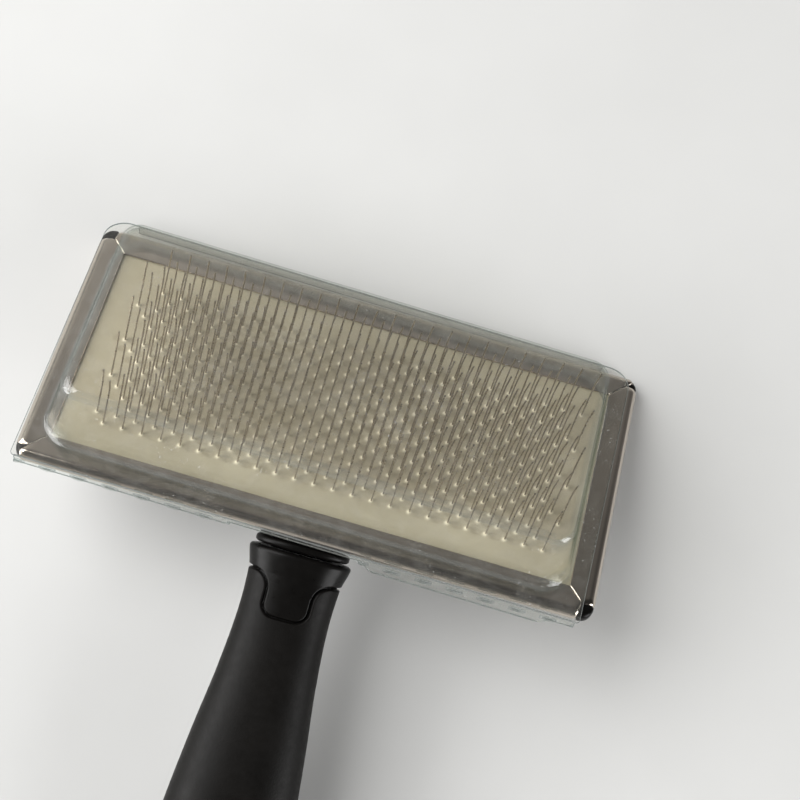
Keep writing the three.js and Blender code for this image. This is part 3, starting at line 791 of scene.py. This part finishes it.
def handle_skins():
    """Core skin (collar and tongues) and grip skin, parted at the bottom of the seam groove."""
    columns = 336
    collar = [
        (2.4, 6.6, 3.6), (2.4, 9.3, 6.2), (2.45, 9.85, 6.75), (2.55, 10.2, 7.05), (2.75, 10.48, 7.34),
        (3.0, 10.6, 7.48), (3.4, 10.58, 7.5),
    ]
    near = np.arange(3.7, 20, 0.16)
    collar_x = spline([(3.4, 10.58), (4.2, 10.4), (5.6, 10.0), (7.2, 9.6)])
    collar_z = spline([(3.4, 7.5), (4.2, 7.44), (5.6, 7.25), (7.2, 7.1)])
    rows = list(collar)
    for s in near:
        width, depth = (collar_x, collar_z) if s < COLLAR_END else (grip_width, grip_depth)
        rows.append((s, float(width(s)), float(depth(s))))
    for s in np.arange(20.4, GRIP_END - 0.5, 0.9):
        rows.append((s, float(grip_width(s)), float(grip_depth(s))))
    for before_end, inset in ((0.5, 0.0), (0.25, 0.06), (0.07, 0.2), (0.0, 0.42)):
        s = GRIP_END - before_end
        rows.append((s, float(grip_width(s)) - inset, float(grip_depth(s)) - inset))
    rings = np.array([handle_ring(w - 0.02, d - 0.02, s, columns) for s, w, d in rows])
    x, s = rings[..., 0], -rings[..., 1]
    distance = tongue_distance(x, s)
    out_of_seam = np.clip((np.abs(distance) - 0.1) / 0.34, 0, 1)
    groove = 0.75 * (1 - out_of_seam ** 2 * (3 - 2 * out_of_seam))
    centre = rings * np.array([0.0, 1.0, 0.0])
    outward = rings - centre
    outward /= np.linalg.norm(outward, axis=-1)[..., None]
    rings = rings - outward * groove[..., None]
    points, faces = loft(rings, caps=False)
    faces = np.array(faces)
    middle = points[faces].mean(1)
    core = tongue_distance(middle[:, 0], -middle[:, 1]) < 0
    parts = []
    for chosen in (faces[core], faces[~core]):
        used, renumbered = np.unique(chosen, return_inverse=True)
        parts.append((points[used], renumbered.reshape(chosen.shape)))
    return parts


def thicken(made, thickness):
    shell = made.modifiers.new("wall", "SOLIDIFY")
    shell.thickness = thickness * MM
    shell.offset = -1
    return made


def neck_ring():
    outer = [(0.34, 9.0, 5.8), (0.4, 9.35, 6.15), (0.6, 9.62, 6.42), (0.9, 9.77, 6.57), (1.3, 9.8, 6.6),
             (1.65, 9.72, 6.52), (1.88, 9.5, 6.3), (2.02, 9.2, 6.0), (2.06, 8.9, 5.7)]
    inner = [(2.06, 6.4, 3.6), (1.2, 6.3, 3.5), (0.34, 6.4, 3.6)]
    return loft([handle_ring(w, d, s, 128) for s, w, d in outer + inner], closed=True)


def butt_field(p):
    x, y, z = p.T
    s = -y
    dome = np.arcsin(np.clip((s - BUTT_ROUND) / (BUTT_END - BUTT_ROUND), 0, 0.998))
    width = grip_width(np.minimum(s, BUTT_ROUND)) * np.cos(dome) ** 0.8
    depth = grip_depth(np.minimum(s, BUTT_ROUND)) * np.cos(dome) ** 0.6
    body = cut(oval(x, z, np.maximum(width, 0.3), np.maximum(depth, 0.3)), -(BUTT_START - s), 0.0)
    body = np.maximum(body, BUTT_START - s)
    body = np.maximum(body, s - BUTT_END + 0.08)
    hole = rectangle_2d(x, y - HOLE_Y, (HOLE_HALF[0], HOLE_HALF[1]), HOLE_HALF[0] - 0.01)
    return cut(body, hole, 1.6)


# ------------------------------------------------------------------ clear cover
def outline(half_x, half_y, far_radius, near_radius):
    """Points round a rounded rectangle, the same count on every ring."""
    points = []
    corners = [
        (1, -1, near_radius, -90), (1, 1, far_radius, 0), (-1, 1, far_radius, 90), (-1, -1, near_radius, 180),
    ]
    for sign_x, sign_y, radius, start in corners:
        centre = (sign_x * (half_x - radius), sign_y * (half_y - radius))
        for angle in np.radians(np.linspace(start, start + 90, 13)):
            points.append((centre[0] + radius * math.cos(angle), centre[1] + radius * math.sin(angle)))
    points = np.array(points)
    dense = []
    for i, a in enumerate(points):
        b = points[(i + 1) % len(points)]
        steps = {12: 18, 25: 44, 38: 18, 51: 44}.get(i, 1)
        dense.extend(a + (b - a) * k / steps for k in range(steps))
    return np.array(dense)


def cover_rings(t):
    """Rings of one face of the sheet, t inside the other: flange edge, foot fillet, wall, shoulder, top.

    Each is its half length, half width, far and near corner radius, and height.
    """
    fx, fy = COVER_FOOT
    tx, ty = COVER_TOP
    flat = COVER_UNDER + COVER_WALL - t
    rows = [
        (COVER_HALF[0] - 0.02, COVER_HALF[1] - 0.02, *FLANGE_CORNERS, flat),
        (COVER_HALF[0] - 0.14, COVER_HALF[1] - 0.14, *FLANGE_CORNERS, flat),
        (57.6, 30.0, 5, 0.9, flat),
        (56.2, 28.4, 5.6, 3.2, flat),
        (fx + 1.1 - t, fy + 1.3 - t, 6.5, 6.0, flat),
    ]
    for angle in np.radians((18, 36, 54, 70)):
        inward = FOOT_FILLET * math.sin(angle)
        rise = FOOT_FILLET * (1 - math.cos(angle))
        rows.append((fx + 1.0 - t - inward, fy + 1.1 - t - inward, 6.5, 6.2, flat + rise))
    rows.append((fx - 0.05 - t, fy - 0.1 - t, 6.3, 6.3, flat + 1.3))
    for share in (0.25, 0.5, 0.75):
        low = (fx - 0.05, fy - 0.1, 6.3, COVER_UNDER + 1.6)
        high = (tx + 0.38, ty + 0.6, SHOULDER_RADIUS, COVER_HEIGHT - 2.2)
        a, b, r, z = (p + (q - p) * share for p, q in zip(low, high))
        rows.append((a - t, b - t, r, r, z))
    for angle in np.radians((0, 15, 30, 45, 60, 75, 90)):
        inward = SHOULDER * (1 - math.cos(angle))
        radius = SHOULDER_RADIUS - 0.9 * math.sin(angle)
        height = COVER_HEIGHT - t - SHOULDER * (1 - math.sin(angle))
        rows.append((tx + 0.35 - t - inward, ty + 0.5 - t - inward, radius, radius, height))
    for inset in (3, 6, 10, 14, 17.5, 19.6):
        radius = max(3.2 - inset * 0.16, 0.08)
        rows.append((tx - 1.5 - t - inset, ty - 1.4 - t - inset, radius, radius, COVER_HEIGHT - t))
    return rows


def cover_shell():
    rings = []
    for wall, order in ((0.0, -1), (COVER_WALL, 1)):
        face = []
        for half_x, half_y, far, near, z in cover_rings(wall):
            ring = outline(half_x, half_y, far, near)
            ring[:, 1] -= FAR_EDGE_TRIM * np.maximum(ring[:, 1] - COVER_FOOT[1] - 1.4, 0)
            ripple = 0.05 * np.sin(ring[:, 0] * 0.16 + ring[:, 1] * 0.11)
            ripple = ripple + 0.04 * np.sin(ring[:, 0] * 0.37 - 1.2)
            lift = z - np.abs(ripple) if z > COVER_HEIGHT - 1 else np.full(len(ring), z)
            face.append(np.column_stack([ring, lift]))
        rings.extend(face[::order])
    return loft(rings)


def skirt(x0, x1, edge, depth_at, crimped):
    """Strip that hangs from a long edge of the flange, to the depth given along it."""
    xs = np.arange(x0, x1 + 0.01, 0.16)
    levels = [0.42, -0.2, -0.85, -0.95, -1.05, -1.15, -1.25, -1.5, -1.6, -1.7, -1.8, -2.2, -3.0, -3.88, -4.0]
    depth = np.array([depth_at(x) for x in xs])
    top = COVER_UNDER + COVER_WALL / 2
    first = -COVER_HALF[0] + 6
    phase = ((xs - first) % CRIMP_PITCH) / CRIMP_LENGTH
    swell = np.where((phase < 1) & crimped(xs), np.sin(np.clip(phase, 0, 1) * math.pi) ** 0.5, 0.0)
    grids = []
    for back in (0.0, SKIRT_THICK):
        rows = []
        for i, level in enumerate([top] + levels):
            z = np.maximum(level, -depth + 0.012 * (len(levels) - i))
            band = np.clip((-0.95 - z) / 0.2, 0, 1) * np.clip((z + 1.8) / 0.2, 0, 1)
            out = abs(edge) - back + CRIMP_DEPTH * swell * band
            rows.append(np.stack([xs, math.copysign(1, edge) * out, z], -1))
        grids.append(np.array(rows))
    rings = np.concatenate([grids[0], grids[1][::-1]])
    return loft(rings.transpose(1, 0, 2))


def near_depth(x):
    """Depth of the near skirt: shallow over the neck, deep along the pull tab."""
    if abs(x) < RELIEF_START + RELIEF_RAMP:
        return RELIEF_DEPTH + min(1.0, max(0.0, (abs(x) - RELIEF_START) / RELIEF_RAMP) ** 0.5)
    if TAB_START < x < TAB_END:
        from_end = min(x - TAB_START, TAB_END - x)
        return TAB_DEPTH - (TAB_DEPTH - SKIRT_DEPTH) * max(0.0, 1 - from_end / TAB_ROUND) ** 2
    return SKIRT_DEPTH


def fold_shading(made):
    """Point attribute: nothing on the flat of the sheet, 1 along cut edges and tight folds."""
    sheet = bmesh.new()
    sheet.from_mesh(made.data)
    folds = np.array([max(edge.calc_face_angle(0.0) for edge in point.link_edges) for point in sheet.verts])
    sheet.free()
    fold = made.data.attributes.new("fold", "FLOAT", "POINT")
    fold.data.foreach_set("value", np.clip((folds - 0.2) / 0.6, 0, 1).astype(np.float32))


def clear_cover():
    near = skirt(-57.6, 57.6, 0.03 - COVER_HALF[1], near_depth, lambda x: np.abs(x) > 13.2)
    far = skirt(-52, 52, COVER_HALF[1] - 0.5, lambda x: SKIRT_DEPTH, lambda x: np.zeros(x.shape, bool))
    return join([cover_shell(), near, far])


# ------------------------------------------------------------------ pieces
piece("steel_shell", HEAD, steel_frame(), STEEL, "brush", ["steel_frame"], 30)
back_mesh = surface_net(back_field, (-60.2, -31.5, -23.5), (60.2, 30.2, 0.2), 0.45)
piece("back_shell", HEAD, back_mesh, HARD, "brush", ["back_plate"])
foam_mesh = surface_net(foam_field, (-53, -23, -6), (53, 23, -2), 0.7)
foam = piece("foam_pad", HEAD, foam_mesh, FOAM, "brush", ["foam_cushion"])
pad_half = (HEAD_HALF[0] - STACK_INSET, HEAD_HALF[1] - STACK_INSET)
cloth_mesh = layer(cloth_height, CLOTH_BOTTOM, 0.45, pad_half)
cloth = piece("cloth_layer", HEAD, cloth_mesh, CLOTH, "brush", ["cloth_backing"])
rubber_mesh = layer(pad_height, RUBBER_BOTTOM, 0.3, pad_half)
rubber = piece("rubber_pad", HEAD, rubber_mesh, RUBBER, "brush", ["rubber_face"])
# Height above the rubber face; the rubber look turns it into painted highlight on the collars and painted
# shade in the hollows.
relief_shade_and_highlight = rubber.data.attributes.new("relief_shade_and_highlight", "FLOAT", "POINT")
relief_shade_and_highlight.data.foreach_set("value", ((rubber_mesh[0][:, 2] - RUBBER_TOP) / 0.4).astype(np.float32))
for row in range(ROW_COUNT):
    number = f"{row + 1:02d}"
    piece(f"wire_row_{number}", HEAD, wire_row(row), WIRE, "brush", [f"pin_row_{number}"], 60)
for number, screw_y in enumerate(SCREW_YS, 1):
    low, high = (-2.7, screw_y - 2.7, -16), (2.7, screw_y + 2.7, -9)
    screw_mesh = surface_net(lambda p, y=screw_y: screw_field(p, y), low, high, 0.14)
    piece(f"screw_{number}", HEAD, screw_mesh, ZINC, "brush", [f"neck_screw_{number}"], 50)
piece("neck_collar_ring", HANDLE, neck_ring(), HARD, "brush", ["neck_ring"])
core_skin, grip_skin = handle_skins()
thicken(piece("handle_collar", HANDLE, core_skin, HARD, "brush", ["handle_core"], 60), 1.1)
thicken(piece("soft_grip", HANDLE, grip_skin, SOFT, "brush", ["grip_sleeve"], 60), 1.6)
butt = surface_net(butt_field, (-14, -120.6, -11), (14, -103.7, 11), 0.35)
piece("butt_cap", HANDLE, butt, HARD, "brush", ["end_cap"])
fold_shading(piece("cover_shell", COVER, clear_cover(), CLEAR, "cover", ["clear_cover"], 35))


# ------------------------------------------------------------------ stage
FLOOR_GAP = 0.05 * MM


def pale_floor():
    bpy.ops.mesh.primitive_grid_add(x_subdivisions=8, y_subdivisions=8, size=3.0, location=(0, 0, -FLOOR_GAP))
    floor = bpy.context.object
    floor.name = "floor"
    look = Look("pale_floor", Specular_IOR_Level=0.2)
    look.colour(look.noise(60), (0.3, (0.53, 0.53, 0.52)), (0.7, (0.56, 0.56, 0.55)))
    look.rough(look.noise(40), 0.75, 0.85)
    floor.data.materials.append(look.material)
    floor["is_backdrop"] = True


def soft_light(name, toward, distance, size, power, colour=(1, 1, 1)):
    """Area light in a direction from the head, facing it; metres and watts."""
    light = bpy.data.lights.new(name, "AREA")
    light.shape = "RECTANGLE"
    light.size, light.size_y = size
    light.energy = power
    light.color = colour
    lamp = bpy.data.objects.new(name, light)
    bpy.context.scene.collection.objects.link(lamp)
    direction = Vector(toward).normalized()
    lamp.location = Vector(HEAD.origin) + direction * distance
    lamp.rotation_euler = direction.to_track_quat("Z", "Y").to_euler()


def studio_world():
    world = bpy.data.worlds.new("studio")
    bpy.context.scene.world = world
    world.use_nodes = True
    nodes, links = world.node_tree.nodes, world.node_tree.links
    place = nodes.new("ShaderNodeTexCoord")
    split = nodes.new("ShaderNodeSeparateXYZ")
    ramp = nodes.new("ShaderNodeValToRGB")
    stops = ((0.0, 0.8), (0.4, 0.66), (0.47, 0.48), (0.54, 0.31), (0.64, 0.22), (0.8, 0.07), (1.0, 0.04))
    while len(ramp.color_ramp.elements) < len(stops):
        ramp.color_ramp.elements.new(0.5)
    for element, (at, shade) in zip(ramp.color_ramp.elements, stops):
        element.position = at
        element.color = (shade, shade * 0.985, shade * 0.965, 1)
    links.new(place.outputs["Generated"], split.inputs[0])
    slant = nodes.new("ShaderNodeMath")
    slant.operation = "MULTIPLY_ADD"
    slant.inputs[1].default_value = 0.6
    links.new(split.outputs["X"], slant.inputs[0])
    links.new(split.outputs["Z"], slant.inputs[2])
    links.new(slant.outputs[0], ramp.inputs["Fac"])
    links.new(ramp.outputs["Color"], nodes["Background"].inputs["Color"])
    nodes["Background"].inputs["Strength"].default_value = 0.7


def add_camera():
    data = bpy.data.cameras.new("camera")
    data.lens = CAMERA["lens"]
    data.sensor_width = 36
    camera = bpy.data.objects.new("camera", data)
    bpy.context.scene.collection.objects.link(camera)
    tilt, side, roll = (math.radians(CAMERA[k]) for k in ("toward_handle", "to_left", "roll"))
    back = np.array([-math.sin(side), -math.cos(side) * math.sin(tilt), math.cos(side) * math.cos(tilt)])
    level_up = np.array([0.0, 1.0, 0.0]) - back * back[1]
    level_up /= np.linalg.norm(level_up)
    level_right = np.cross(level_up, back)
    up = level_up * math.cos(roll) - level_right * math.sin(roll)
    right = np.cross(up, back)
    eye = np.array([AIM[0], AIM[1], 0.0]) + back * CAMERA["distance"] / MM
    turned = np.array([right, up, back]) @ HEAD.axes
    matrix = Matrix.Identity(4)
    for i in range(3):
        matrix.col[i][:3] = turned[i]
    matrix.col[3][:3] = HEAD.points(eye)
    camera.matrix_world = matrix
    bpy.context.scene.camera = camera


pale_floor()
studio_world()
soft_light("key", (-1.05, 0.35, 1.0), 1.0, (0.75, 0.95), 14)
soft_light("left", (-0.86, -0.34, 0.32), 0.7, (0.42, 0.44), 5.0)
soft_light("right", (0.88, -0.36, 0.32), 0.7, (0.4, 0.42), 4.6)
add_camera()
bpy.context.scene.view_settings.view_transform = "Standard"

low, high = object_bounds()
